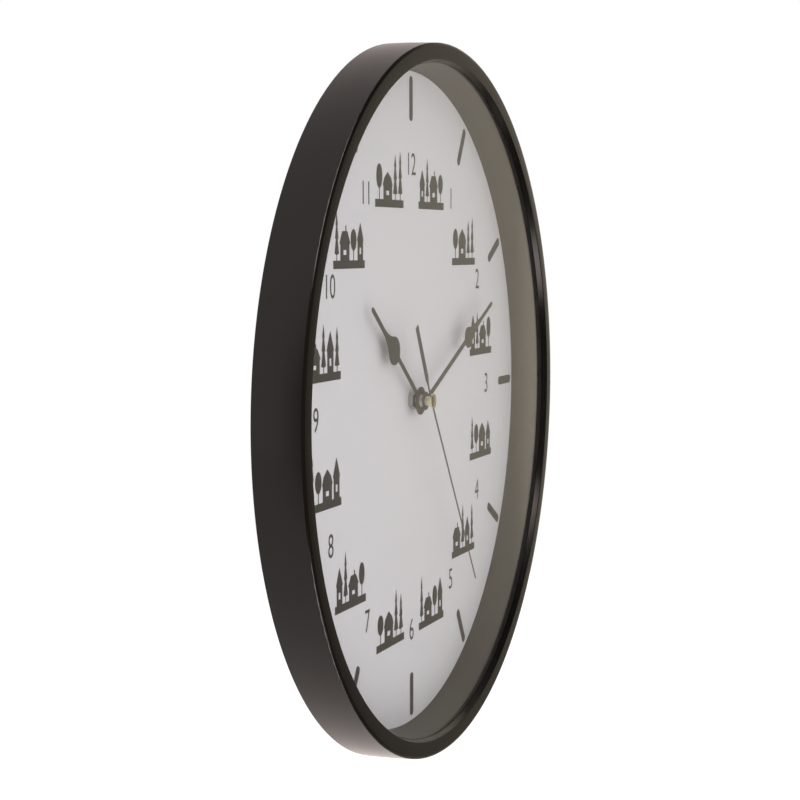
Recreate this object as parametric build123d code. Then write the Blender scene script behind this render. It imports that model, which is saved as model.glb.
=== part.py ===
from build123d import *
import os
from math import cos, pi, radians, sin

# Round quartz wall clock, in millimetres.
# Each piece is modelled lying on its back: the wall plane is z = 0, z rises towards the viewer,
# x is the viewer's right and y is up. The last step stands the clock up, so that the front faces -Y
# and +Z is up, with the origin at the keyhole, where the clock hangs on the wall.

# Case, scaled from the photograph: the diameter is the front's, and depths count from the lip's edges
case_diameter = 400.0
rim_depth = 27.2
rim_flare = 0.75
rim_crown = 0.25
rim_wall = 2.6
lip_width = 9.2
lip_crown = 0.12
lip_thickness = 2.2
lip_draft = 1.1
lens_recess = 3.4
front_edge_radius = 1.5
lip_edge_radius = 0.5
rear_edge_radius = 0.4

# Lens, spacer ring and dial
lens_thickness = 1.5
lens_seat = 1.7
spacer_wall = 1.6
spacer_lead = 0.3
spacer_draft = 3.1
dial_depth = 24.5
dial_thickness = 1.0

# Rear cover and its screws
cover_wall = 1.8
cover_gap = 0.4
flange_thickness = 1.6
flange_width = 21.0
cover_taper = 18.0
foot_edge_radius = 2.5
window_gap = 2.0
collar_height = 6.0
rib_count = 8
rib_thickness = 1.6
rib_height = 5.0
keyhole_height = 104.0
keyhole_radius = 5.0
keyhole_slot_width = 5.0
keyhole_slot_length = 13.0
screw_count = 8
screw_radius = 1.3
screw_length = 10.0
screw_head_radius = 2.3
screw_head_height = 1.2
screw_hole_gap = 0.2
boss_radius = 2.8

# Movement housing
movement_wall = 1.2
movement_corner = 3.0
wall_gap = 1.0
rubber_radius = 12.0
rubber_thickness = 0.8
bush_radius = 3.9
bush_height = 5.1
bush_hole_gap = 0.2
nut_across_flats = 9.1
nut_thickness = 2.8

# Battery and contacts
battery_radius = 7.25
battery_body_length = 49.0
battery_nub_radius = 2.75
battery_nub_length = 1.5
battery_play = 0.3
contact_thickness = 0.4
contact_reach = 1.55
contact_width = 9.0
contact_bump_radius = 2.0

# Shafts, one inside the other
hour_pipe_radius = 2.6
minute_pipe_radius = 1.8
second_arbor_radius = 0.7
minute_spigot_radius = 1.5
arbor_radius = 0.5
pivot_radius = 0.35
pivot_length = 0.7
end_play = 0.1
running_gap = 0.05
push_gap = 0.02

# Wheel train: teeth, modules and the axes' places round the centre
rotor_teeth = 8
intermediate_wheel_teeth = 48
intermediate_pinion_teeth = 12
seconds_wheel_teeth = 60
seconds_pinion_teeth = 8
third_wheel_teeth = 64
third_pinion_teeth = 8
centre_wheel_teeth = 60
cannon_pinion_teeth = 12
minute_wheel_teeth = 36
minute_pinion_teeth = 10
hour_wheel_teeth = 40
train_radius = 9.0
train_module = 0.25
third_axis_angle = 10.0
intermediate_axis_angle = 100.0
minute_axis_angle = 200.0
rotor_axis_angle = 60.0
wheel_tooth = ((-1.0, 0.285), (0.85, 0.11))
pinion_tooth = ((-1.15, 0.17), (0.0, 0.19), (0.7, 0.08))

# Wheel layers, counted from the inside of the housing's front plate
wheel_thickness = 0.8
pinion_overhang = 0.2
layer_pitch = 1.6
first_layer = 1.0

# Stepping motor and circuit
magnet_radius = 3.0
magnet_thickness = 2.0
magnet_gap = 0.4
stator_thickness = 1.0
stator_height = 2.0
stator_width = 9.0
stator_span = 32.0
stator_leg_width = 5.0
stator_leg_length = 5.8
core_width = 2.6
core_thickness = 1.0
coil_radius = 3.0
bobbin_wall = 0.6
bobbin_flange = 1.0
board_length = 30.0
board_thickness = 1.0
board_lift = 1.2
board_margin = 0.4
coil_room = 0.3
chip_radius = 3.0
chip_height = 1.1
crystal_radius = 1.0
crystal_length = 6.0

# Setting knob
knob_radius = 5.5
knob_thickness = 2.0
knob_groove_count = 16
knob_groove_radius = 0.5
knob_gap = 0.6
knob_recess = 2.4
knob_room = 0.12

# Hands: angles are clockwise from twelve
sheet_thickness = 0.5
hour_angle = 307.1
hour_hand_height = 5.6
hour_hub_radius = 8.0
hour_stem_half_width = 1.4
hour_lobe_centre = 50.9
hour_lobe_radius = 7.9
hour_taper_end = 72.0
hour_tip_half_width = 1.4
hour_length = 91.2
hour_collet_radius = 3.5
hour_collet_below = 0.5
hour_collet_above = 1.7
minute_angle = 66.2
minute_hand_height = 8.6
minute_hub_radius = 5.3
minute_stem_half_width = 1.5
minute_lobe_centre = 81.0
minute_lobe_radius = 6.4
minute_taper_end = 112.0
minute_tip_half_width = 1.2
minute_length = 129.6
minute_collet_radius = 2.7
minute_collet_below = 0.6
minute_collet_above = 0.4
second_angle = 147.8
second_hand_height = 12.3
second_sheet_thickness = 0.3
second_length = 135.5
second_needle_lift = 0.8
second_root_half_width = 0.8
second_tip_half_width = 0.5
second_tail_length = 51.5
second_tail_lift = 1.8
second_tail_neck = 12.0
second_tail_start = 16.0
second_tail_half_width = 2.1
cap_radius = 4.1
cap_disc_thickness = 1.2
cap_dome_height = 0.8
cap_boss_radius = 2.8
cap_boss_length = 2.4

# Heights above the wall, worked out from the stack
movement_depth = 2 * battery_radius + battery_play + movement_wall
lip_height = dial_depth + dial_thickness + rubber_thickness + movement_depth + wall_gap
rim_rear = lip_height - rim_depth
lens_front = lip_height - lens_recess
lens_rear = lens_front - lens_thickness
dial_front = lip_height - dial_depth
dial_rear = dial_front - dial_thickness
movement_front = dial_rear - rubber_thickness
movement_rear = movement_front - movement_depth
plate_inside = movement_front - movement_wall
lid_inside = movement_rear + movement_wall
flange_rear = dial_rear - flange_thickness

# Radii of the case
case_radius = case_diameter / 2
rim_inside = case_radius - rim_wall
rear_radius = case_radius + rim_flare
lip_radius = case_radius - lip_width
lens_mouth = lip_radius - lip_draft
lens_radius = lens_mouth + lens_seat
boss_circle = rim_inside - boss_radius
lip_back = boss_circle - boss_radius + push_gap
flange_radius = rim_inside - cover_gap
shoulder_radius = flange_radius - flange_width
foot_radius = shoulder_radius - cover_taper

# Train geometry
third_module = 2 * train_radius / (seconds_pinion_teeth + third_wheel_teeth)
centre_module = 2 * train_radius / (third_pinion_teeth + centre_wheel_teeth)
seconds_module = 2 * train_radius / (intermediate_pinion_teeth + seconds_wheel_teeth)
cannon_module = 2 * train_radius / (cannon_pinion_teeth + minute_wheel_teeth)
hour_module = 2 * train_radius / (minute_pinion_teeth + hour_wheel_teeth)
rotor_distance = train_module * (rotor_teeth + intermediate_wheel_teeth) / 2


def on_circle(radius, degrees):
    return Vector(radius * cos(radians(degrees)), radius * sin(radians(degrees)), 0)


third_axis = on_circle(train_radius, third_axis_angle)
intermediate_axis = on_circle(train_radius, intermediate_axis_angle)
minute_axis = on_circle(train_radius, minute_axis_angle)
rotor_axis = intermediate_axis + on_circle(rotor_distance, rotor_axis_angle)

# Movement housing: the train sets its floor and ceiling, the battery its width and the bay below
cup_radius = knob_radius + knob_gap + movement_wall
train_floor = minute_axis.Y - cup_radius - knob_room
stator_top = rotor_axis.Y + stator_width / 2 + stator_leg_length
core_y = stator_top - core_width / 2 - board_margin
train_ceiling = core_y + coil_radius + coil_room
bay_top = train_floor - movement_wall
bay_floor = bay_top - 2 * (battery_radius + battery_play)
housing_low = bay_floor - movement_wall
housing_high = train_ceiling + movement_wall
bay_inside = (battery_body_length + battery_nub_length) / 2 + contact_reach
housing_half = bay_inside + movement_wall


def layer(number):
    """Front face of a wheel layer; layer 0 lies nearest the dial."""
    return plate_inside - first_layer - number * layer_pitch


def cylinder(radius, low, high, at=Vector(0, 0, 0)):
    return Pos(at.X, at.Y, (low + high) / 2) * Cylinder(radius, high - low)


def slab(x_low, x_high, y_low, y_high, z_low, z_high):
    size = (x_high - x_low, y_high - y_low, z_high - z_low)
    centre = ((x_low + x_high) / 2, (y_low + y_high) / 2, (z_low + z_high) / 2)
    return Pos(*centre) * Box(*size)


def revolved(*points):
    """Solid of revolution about z from (radius, height) points."""
    profile = Plane.XZ * Polygon(*points, align=None)
    return revolve(profile, Axis.Z)


def bowed(start, end, bow):
    """Arc between two (radius, height) points that bulges to the right of the way from start to end."""
    along = (Vector(*end) - Vector(*start)).normalized()
    middle = (Vector(*start) + Vector(*end)) / 2 + Vector(along.Y, -along.X) * bow
    return ThreePointArc(start, middle, end)


def edges_at(shape, radius, height):
    """Circular edges of one radius and height about the main axis."""
    circles = shape.edges().filter_by(GeomType.CIRCLE)
    return [e for e in circles if abs(e.radius - radius) < 0.01 and abs(e.center().Z - height) < 0.01]


def ring_places(count, radius, first=0.0):
    return [on_circle(radius, first + 360.0 * k / count) for k in range(count)]


def toothed(teeth, module, tooth, low, high, at, facing, gap):
    """Toothed disc with a tooth, or a gap, on the line that faces its mate."""
    pitch = 2 * pi / teeth
    start = radians(facing) + (pitch / 2 if gap else 0)
    flanks = [(h, -w) for h, w in tooth] + [(h, w) for h, w in reversed(tooth)]
    outline = []
    for k in range(teeth):
        for height, share in flanks:
            radius = module * (teeth / 2 + height)
            angle = start + (k + share) * pitch
            outline.append((radius * cos(angle), radius * sin(angle)))
    face = Polygon(*outline, align=None)
    return Pos(at.X, at.Y, low) * extrude(face, high - low)


def wheel(teeth, module, number, at, facing):
    front = layer(number)
    return toothed(teeth, module, wheel_tooth, front - wheel_thickness, front, at, facing, True)


def pinion(teeth, module, number, at, facing):
    front = layer(number) + pinion_overhang
    rear = front - wheel_thickness - 2 * pinion_overhang
    return toothed(teeth, module, pinion_tooth, rear, front, at, facing, False)


def arbor(at):
    """Shaft between the two plates, with a turned-down pivot at each end."""
    shaft = cylinder(arbor_radius, lid_inside + end_play, plate_inside - end_play, at)
    pivots = cylinder(pivot_radius, lid_inside - pivot_length + end_play,
                      plate_inside + pivot_length - end_play, at)
    return shaft + pivots


def pivot_holes(axes):
    low = lid_inside - pivot_length
    high = plate_inside + pivot_length
    return [cylinder(pivot_radius + running_gap, low, high, at) for at in axes]


# Case and what it holds

def case_rim():
    foot = (rear_radius, rim_rear)
    shoulder = (case_radius, lip_height)
    mouth = (lip_radius, lip_height)
    inside = Polyline(
        mouth, (lens_mouth, lens_front), (lip_back, lens_front), (lip_back, lip_height - lip_thickness),
        (rim_inside, lip_height - lip_thickness), (rim_inside, rim_rear), foot)
    wall = bowed(foot, shoulder, rim_crown)
    lip = bowed(shoulder, mouth, lip_crown)
    profile = make_face([wall, lip, *inside.edges()])
    rim = revolve(Plane.XZ * profile, Axis.Z)
    rim = fillet(edges_at(rim, *shoulder), front_edge_radius)
    rim = fillet(edges_at(rim, *mouth), lip_edge_radius)
    rim = fillet(edges_at(rim, *foot), rear_edge_radius)
    pilot_end = dial_rear + screw_length
    for place in ring_places(screw_count, boss_circle, 180.0 / screw_count):
        rim += cylinder(boss_radius, dial_rear, lip_height - lip_thickness, place)
        rim -= cylinder(screw_radius + push_gap, dial_rear, pilot_end, place)
    return rim


def lens():
    return cylinder(lens_radius, lens_rear, lens_front)


def spacer_ring():
    top = lens_mouth - spacer_lead
    foot = top - spacer_draft
    return revolved(
        (top, lens_rear), (top + spacer_wall, lens_rear), (foot + spacer_wall, dial_front + spacer_wall),
        (lens_radius, dial_front + spacer_wall), (lens_radius, dial_front), (foot, dial_front))


def dial_plate():
    plate = cylinder(lens_radius, dial_rear, dial_front)
    return plate - cylinder(bush_radius + bush_hole_gap, dial_rear, dial_front)


def rear_cover():
    slope = cover_wall * 1.2
    cover = revolved(
        (0, 0), (foot_radius, 0), (shoulder_radius, flange_rear), (flange_radius, flange_rear),
        (flange_radius, dial_rear), (shoulder_radius - slope, dial_rear),
        (foot_radius - slope, cover_wall), (0, cover_wall))
    cover = fillet(edges_at(cover, foot_radius, 0), foot_edge_radius)
    top = cover_wall + collar_height
    half = housing_half + window_gap
    low = housing_low - window_gap
    high = housing_high + window_gap
    cover += slab(-half - cover_wall, half + cover_wall, low - cover_wall, high + cover_wall, 0, top)
    for k in range(rib_count):
        rib_top = cover_wall + rib_height
        rib = slab(half, foot_radius - slope, -rib_thickness / 2, rib_thickness / 2, 0, rib_top)
        cover += Rot(0, 0, 360.0 * (k + 0.5) / rib_count) * rib
    cover -= slab(-half, half, low, high, 0, top)
    for place in ring_places(screw_count, boss_circle, 180.0 / screw_count):
        cover -= cylinder(screw_radius + screw_hole_gap, flange_rear, dial_rear, place)
    hole = Vector(0, keyhole_height, 0)
    slot_end = keyhole_height + keyhole_slot_length
    cover -= cylinder(keyhole_radius, 0, cover_wall, hole)
    cover -= slab(-keyhole_slot_width / 2, keyhole_slot_width / 2, keyhole_height, slot_end, 0, cover_wall)
    cover -= cylinder(keyhole_slot_width / 2, 0, cover_wall, Vector(0, slot_end, 0))
    return cover


def cover_screws():
    screws = []
    for place in ring_places(screw_count, boss_circle, 180.0 / screw_count):
        shank = cylinder(screw_radius, flange_rear, flange_rear + screw_length, place)
        head = cylinder(screw_head_radius, flange_rear - screw_head_height, flange_rear, place)
        screws.append(shank + head)
    return Compound(children=screws)


# Movement housing, clamped to the dial by its nut

def rounded_block(x_half, y_low, y_high, z_low, z_high):
    block = slab(-x_half, x_half, y_low, y_high, z_low, z_high)
    return fillet(block.edges().filter_by(Axis.Z), movement_corner)


def movement_case():
    case = rounded_block(housing_half, housing_low, housing_high, movement_rear, movement_front)
    case -= slab(-housing_half, housing_half, bay_top, housing_high, movement_rear, lid_inside)
    case -= slab(-bay_inside, bay_inside, train_floor, train_ceiling, lid_inside, plate_inside)
    case -= slab(-bay_inside, bay_inside, bay_floor, bay_top, movement_rear, plate_inside)
    case += cylinder(bush_radius, movement_front, movement_front + bush_height)
    case -= cylinder(hour_pipe_radius + running_gap, plate_inside, movement_front + bush_height)
    for hole in pivot_holes((third_axis, intermediate_axis, minute_axis, rotor_axis)):
        case -= hole
    return case


def movement_lid():
    lid = rounded_block(housing_half, bay_top, housing_high, movement_rear, lid_inside)
    recess_top = movement_rear + knob_recess
    cup_top = recess_top + movement_wall
    lid += cylinder(cup_radius, lid_inside, cup_top, minute_axis)
    lid -= cylinder(knob_radius + knob_gap, movement_rear, recess_top, minute_axis)
    lid -= cylinder(arbor_radius + running_gap, recess_top, cup_top, minute_axis)
    for hole in pivot_holes((third_axis, intermediate_axis, rotor_axis, Vector(0, 0, 0))):
        lid -= hole
    lid += cylinder(stator_leg_width / 4, lid_inside, lid_inside + stator_height, stator_post(-1))
    lid += cylinder(stator_leg_width / 4, lid_inside, lid_inside + stator_height, stator_post(1))
    for post in board_posts():
        lid += cylinder(crystal_radius, lid_inside, lid_inside + board_lift, post)
    return lid


def rubber_washer():
    washer = cylinder(rubber_radius, movement_front, dial_rear)
    return washer - cylinder(bush_radius + bush_hole_gap, movement_front, dial_rear)


def mounting_nut():
    hexagon = RegularPolygon(nut_across_flats / 2, 6, major_radius=False, rotation=30)
    nut = Pos(0, 0, dial_front) * extrude(hexagon, nut_thickness)
    return nut - cylinder(bush_radius + push_gap, dial_front, dial_front + nut_thickness)


# Battery and its contacts

battery_axis_y = bay_floor + battery_radius + battery_play
battery_axis_z = plate_inside - battery_play / 2 - battery_radius
battery_left = -(battery_body_length + battery_nub_length) / 2
battery_right = battery_left + battery_body_length


def along_x(radius, low, high, y, z):
    return Pos((low + high) / 2, y, z) * Rot(0, 90, 0) * Cylinder(radius, high - low)


def battery():
    can = along_x(battery_radius, battery_left, battery_right, battery_axis_y, battery_axis_z)
    nub_end = battery_right + battery_nub_length
    return can + along_x(battery_nub_radius, battery_right, nub_end, battery_axis_y, battery_axis_z)


def contact(end, tip):
    """Flat strip against the bay's end wall, with a bump that reaches the battery."""
    inner = end - contact_thickness if end > 0 else end + contact_thickness
    low, high = min(end, inner), max(end, inner)
    strip = slab(low, high, battery_axis_y - contact_width / 2, battery_axis_y + contact_width / 2,
                 battery_axis_z - contact_width / 2, battery_axis_z + contact_width / 2)
    bump_low, bump_high = min(inner, tip), max(inner, tip)
    return strip + along_x(contact_bump_radius, bump_low, bump_high, battery_axis_y, battery_axis_z)


def positive_contact():
    return contact(bay_inside, battery_right + battery_nub_length)


def negative_contact():
    return contact(-bay_inside, battery_left)


# Stepping motor and circuit

stator_rear = lid_inside + stator_height
stator_front = stator_rear + stator_thickness
stator_left = rotor_axis.X - stator_span / 2
stator_right = rotor_axis.X + stator_span / 2
core_front = stator_front + core_thickness
core_z = (stator_front + core_front) / 2
coil_left = stator_left + stator_leg_width
coil_right = stator_right - stator_leg_width


def stator_post(side):
    x = rotor_axis.X + side * (stator_span - stator_leg_width) / 2
    return Vector(x, rotor_axis.Y + stator_width / 2, 0)


def stator():
    low = rotor_axis.Y - stator_width / 2
    high = rotor_axis.Y + stator_width / 2
    plate = slab(stator_left, stator_right, low, high, stator_rear, stator_front)
    plate += slab(stator_left, coil_left, low, stator_top, stator_rear, stator_front)
    plate += slab(coil_right, stator_right, low, stator_top, stator_rear, stator_front)
    return plate - cylinder(magnet_radius + magnet_gap, stator_rear, stator_front, rotor_axis)


def coil_core():
    return slab(stator_left, stator_right, core_y - core_width / 2, core_y + core_width / 2,
                stator_front, core_front)


def coil_bobbin():
    tube_y = core_width / 2 + bobbin_wall
    tube_z = core_thickness / 2 + bobbin_wall
    tube = slab(coil_left, coil_right, core_y - tube_y, core_y + tube_y, core_z - tube_z, core_z + tube_z)
    for low in (coil_left, coil_right - bobbin_flange):
        tube += along_x(coil_radius, low, low + bobbin_flange, core_y, core_z)
    gap_y = core_width / 2 + push_gap
    gap_z = core_thickness / 2 + push_gap
    return tube - slab(coil_left, coil_right, core_y - gap_y, core_y + gap_y, core_z - gap_z, core_z + gap_z)


def coil_winding():
    tube_y = core_width / 2 + bobbin_wall + push_gap
    tube_z = core_thickness / 2 + bobbin_wall + push_gap
    low = coil_left + bobbin_flange + push_gap
    high = coil_right - bobbin_flange - push_gap
    coil = along_x(coil_radius - bobbin_wall / 2, low, high, core_y, core_z)
    return coil - slab(low, high, core_y - tube_y, core_y + tube_y, core_z - tube_z, core_z + tube_z)


board_left = -bay_inside + board_margin
board_right = minute_axis.X - cup_radius - board_margin
board_top = train_ceiling - board_margin
board_rear = lid_inside + board_lift
board_front = board_rear + board_thickness
board_middle = (board_left + board_right) / 2


def board_posts():
    reach = 2 * crystal_radius
    upper = board_top - reach
    lower = board_top - board_length + reach
    return [Vector(board_middle, upper, 0), Vector(board_middle, lower, 0)]


def circuit_board():
    return slab(board_left, board_right, board_top - board_length, board_top, board_rear, board_front)


def timer_chip():
    centre = Vector(board_middle, board_top - 0.65 * board_length, 0)
    drop = cylinder(chip_radius, board_front, board_front + chip_height, centre)
    return fillet(drop.faces().sort_by(Axis.Z)[-1].edges(), chip_height / 2)


def quartz_crystal():
    y = board_top - 0.25 * board_length
    return along_x(crystal_radius, board_middle - crystal_length / 2, board_middle + crystal_length / 2,
                   y, board_front + crystal_radius)


# Seconds train

def rotor():
    magnet_low = stator_rear + stator_thickness / 2 - magnet_thickness / 2
    body = arbor(rotor_axis) + cylinder(magnet_radius, magnet_low, magnet_low + magnet_thickness, rotor_axis)
    return body + pinion(rotor_teeth, train_module, 5, rotor_axis, rotor_axis_angle + 180)


def intermediate_wheel():
    body = arbor(intermediate_axis)
    body += wheel(intermediate_wheel_teeth, train_module, 5, intermediate_axis, rotor_axis_angle)
    return body + pinion(intermediate_pinion_teeth, seconds_module, 4, intermediate_axis,
                         intermediate_axis_angle + 180)


second_sheet_low = dial_front + second_hand_height
cap_disc_low = second_sheet_low + second_sheet_thickness


def seconds_wheel():
    centre = Vector(0, 0, 0)
    body = cylinder(second_arbor_radius, lid_inside + end_play, cap_disc_low)
    body += cylinder(pivot_radius, lid_inside - pivot_length + end_play, lid_inside + end_play)
    body += wheel(seconds_wheel_teeth, seconds_module, 4, centre, intermediate_axis_angle)
    return body + pinion(seconds_pinion_teeth, third_module, 3, centre, third_axis_angle)


def third_wheel():
    body = arbor(third_axis) + wheel(third_wheel_teeth, third_module, 3, third_axis, third_axis_angle + 180)
    return body + pinion(third_pinion_teeth, centre_module, 2, third_axis, third_axis_angle + 180)


def centre_wheel():
    disc = wheel(centre_wheel_teeth, centre_module, 2, Vector(0, 0, 0), third_axis_angle)
    return disc - cylinder(minute_spigot_radius + running_gap, layer(2) - wheel_thickness, layer(2))


# Setting train

hour_sheet_low = dial_front + hour_hand_height
hour_sheet_high = hour_sheet_low + sheet_thickness
hour_pipe_top = hour_sheet_high + hour_collet_above - end_play
minute_sheet_low = dial_front + minute_hand_height
minute_sheet_high = minute_sheet_low + sheet_thickness
minute_pipe_top = minute_sheet_high + minute_collet_above + end_play


def minute_pipe():
    pinion_rear = layer(1) - wheel_thickness - pinion_overhang
    spigot_end = layer(2) - wheel_thickness - pinion_overhang
    pipe = cylinder(minute_pipe_radius, pinion_rear, minute_pipe_top)
    pipe += cylinder(minute_spigot_radius, spigot_end, pinion_rear)
    pipe += pinion(cannon_pinion_teeth, cannon_module, 1, Vector(0, 0, 0), minute_axis_angle)
    return pipe - cylinder(second_arbor_radius + running_gap, spigot_end, minute_pipe_top)


def minute_wheel():
    body = wheel(minute_wheel_teeth, cannon_module, 1, minute_axis, minute_axis_angle + 180)
    body += pinion(minute_pinion_teeth, hour_module, 0, minute_axis, minute_axis_angle + 180)
    knob_rear = movement_rear + end_play
    body += cylinder(arbor_radius, knob_rear, plate_inside - end_play, minute_axis)
    pivot_end = plate_inside + pivot_length - end_play
    return body + cylinder(pivot_radius, plate_inside - end_play, pivot_end, minute_axis)


def hour_wheel():
    low = layer(0) - wheel_thickness
    body = wheel(hour_wheel_teeth, hour_module, 0, Vector(0, 0, 0), minute_axis_angle)
    body += cylinder(hour_pipe_radius, low, hour_pipe_top)
    return body - cylinder(minute_pipe_radius + running_gap, low, hour_pipe_top)


def setting_knob():
    low = movement_rear + end_play
    high = low + knob_thickness
    knob = cylinder(knob_radius, low, high, minute_axis)
    for place in ring_places(knob_groove_count, knob_radius):
        knob -= cylinder(knob_groove_radius, low, high, minute_axis + place)
    return knob - cylinder(arbor_radius + push_gap, low, high, minute_axis)


# Hands, drawn pointing at twelve and then turned

def turned(shape, clockwise):
    return Rot(0, 0, -clockwise) * shape


def spade_face(hub, stem, lobe_centre, lobe, taper_end, tip, length):
    """Hub disc, straight stem, round lobe that sweeps in to a slim blade with a round end."""
    leave = on_circle(lobe, 35.0)
    reach = (taper_end - lobe_centre) * 0.45
    shoulder = (leave.X, lobe_centre + leave.Y)
    pull = (leave.X - leave.Y / 2, lobe_centre + leave.Y + leave.X / 2)
    side = Bezier(shoulder, pull, (tip, taper_end - reach), (tip, taper_end))
    blade = Line((tip, taper_end), (tip, length - tip))
    half = [side, blade]
    other = [edge.mirror(Plane.YZ) for edge in half]
    end = ThreePointArc((tip, length - tip), (0, length), (-tip, length - tip))
    foot = Line(shoulder, (-leave.X, lobe_centre + leave.Y))
    taper = make_face([side, blade, end, *other, foot])
    face = Circle(hub) + Pos(0, lobe_centre / 2) * Rectangle(2 * stem, lobe_centre)
    return face + Pos(0, lobe_centre) * Circle(lobe) + taper


def hand_sheet(face, low, hole):
    sheet = Pos(0, 0, low) * extrude(face, sheet_thickness)
    return sheet - cylinder(hole, low, low + sheet_thickness)


def hour_hand():
    face = spade_face(hour_hub_radius, hour_stem_half_width, hour_lobe_centre, hour_lobe_radius,
                      hour_taper_end, hour_tip_half_width, hour_length)
    sheet = hand_sheet(face, hour_sheet_low, hour_collet_radius + push_gap)
    return turned(sheet, hour_angle)


def minute_hand():
    face = spade_face(minute_hub_radius, minute_stem_half_width, minute_lobe_centre, minute_lobe_radius,
                      minute_taper_end, minute_tip_half_width, minute_length)
    sheet = hand_sheet(face, minute_sheet_low, minute_collet_radius + push_gap)
    return turned(sheet, minute_angle)


def collet(radius, bore, low, high):
    return cylinder(radius, low, high) - cylinder(bore + push_gap, low, high)


def hour_hand_collet():
    return collet(hour_collet_radius, hour_pipe_radius, hour_sheet_low - hour_collet_below,
                  hour_sheet_high + hour_collet_above)


def minute_hand_collet():
    return collet(minute_collet_radius, minute_pipe_radius, minute_sheet_low - minute_collet_below,
                  minute_sheet_high + minute_collet_above)


def leaning(face, crease, lift):
    """Part of the second hand's sheet that leans forward from a crease, drawn from the crease outwards."""
    return Pos(0, crease, 0) * Rot(lift, 0, 0) * extrude(face, second_sheet_thickness)


def second_hand():
    """Sheet that lies flat under the cap and leans forward at both ends."""
    root = second_root_half_width
    tip = second_tip_half_width
    wide = second_tail_half_width
    flat = Circle(cap_boss_radius) + Rectangle(2 * root, 2 * cap_radius)
    reach = second_length - cap_radius
    needle = Polygon((-root, 0), (root, 0), (tip, reach), (-tip, reach), align=None)
    neck = cap_radius - second_tail_neck
    start = cap_radius - second_tail_start
    end = cap_radius - second_tail_length
    tail = Polygon((-root, 0), (-root, neck), (-wide, start), (-wide, end),
                   (wide, end), (wide, start), (root, neck), (root, 0), align=None)
    sheet = extrude(flat, second_sheet_thickness)
    sheet += leaning(needle, cap_radius, second_needle_lift)
    sheet += leaning(tail, -cap_radius, -second_tail_lift)
    sheet -= cylinder(second_arbor_radius + push_gap, 0, second_sheet_thickness)
    return turned(Pos(0, 0, second_sheet_low) * sheet, second_angle)


def second_hand_cap():
    """Brass boss pushed on the arbor behind the sheet, joined through it to the domed cap in front."""
    disc_top = cap_disc_low + cap_disc_thickness
    dome_radius = (cap_radius ** 2 + cap_dome_height ** 2) / (2 * cap_dome_height)
    dome = Pos(0, 0, disc_top + cap_dome_height - dome_radius) * Sphere(dome_radius)
    dome &= cylinder(cap_radius, disc_top, disc_top + cap_dome_height)
    return cylinder(cap_radius, cap_disc_low, disc_top) + dome


def second_hand_boss():
    return collet(cap_boss_radius, second_arbor_radius, second_sheet_low - cap_boss_length, second_sheet_low)


pieces = (
    case_rim, lens, spacer_ring, dial_plate, rear_cover, cover_screws,
    movement_case, movement_lid, rubber_washer, mounting_nut,
    battery, positive_contact, negative_contact,
    stator, coil_core, coil_bobbin, coil_winding, circuit_board, timer_chip, quartz_crystal,
    rotor, intermediate_wheel, seconds_wheel, third_wheel, centre_wheel,
    minute_pipe, minute_wheel, hour_wheel, setting_knob,
    hour_hand, hour_hand_collet, minute_hand, minute_hand_collet,
    second_hand, second_hand_boss, second_hand_cap,
)

os.makedirs("parts", exist_ok=True)
stand_up = Pos(0, 0, -keyhole_height) * Rot(90, 0, 0)
for piece in pieces:
    export_step(stand_up * piece(), f"parts/{piece.__name__}.step")
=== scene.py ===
import math

import bmesh
import bpy
from bpy.props import FloatProperty, FloatVectorProperty, PointerProperty
from bpy.types import Operator, Panel, PropertyGroup
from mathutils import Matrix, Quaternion, Vector


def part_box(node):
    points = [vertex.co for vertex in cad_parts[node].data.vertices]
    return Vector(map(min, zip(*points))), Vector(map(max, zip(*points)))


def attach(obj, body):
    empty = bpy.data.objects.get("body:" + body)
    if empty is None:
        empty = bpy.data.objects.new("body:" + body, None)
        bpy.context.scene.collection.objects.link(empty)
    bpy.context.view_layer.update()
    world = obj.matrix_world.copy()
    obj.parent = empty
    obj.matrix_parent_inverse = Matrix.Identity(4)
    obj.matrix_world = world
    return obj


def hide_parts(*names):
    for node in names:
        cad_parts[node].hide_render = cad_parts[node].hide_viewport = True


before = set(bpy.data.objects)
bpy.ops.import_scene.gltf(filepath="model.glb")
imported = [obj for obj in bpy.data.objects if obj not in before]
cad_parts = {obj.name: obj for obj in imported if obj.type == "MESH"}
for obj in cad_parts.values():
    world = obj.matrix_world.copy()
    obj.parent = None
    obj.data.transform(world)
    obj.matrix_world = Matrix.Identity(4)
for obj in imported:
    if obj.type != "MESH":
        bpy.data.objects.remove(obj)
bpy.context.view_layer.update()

bl_info = {
    "name": "Wall Clock Dressing",
    "version": (1, 0, 0),
    "blender": (4, 5, 0),
    "location": "View3D > Sidebar > Wall Clock",
    "description": "Finishes, dial print, fittings and studio for a round quartz wall clock",
    "category": "Object",
}

rim_low, rim_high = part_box("case_rim")
axis_height = (rim_low.z + rim_high.z) / 2
dial_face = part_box("dial_plate")[0].y
front_centre = Vector((0.0, rim_low.y, axis_height))
hours = range(1, 13)
hour_angle = 30

# Differences too small to count, and how straight a face looks along an axis
tiny = 1e-6
close = 1e-4
facing = 0.9


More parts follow.
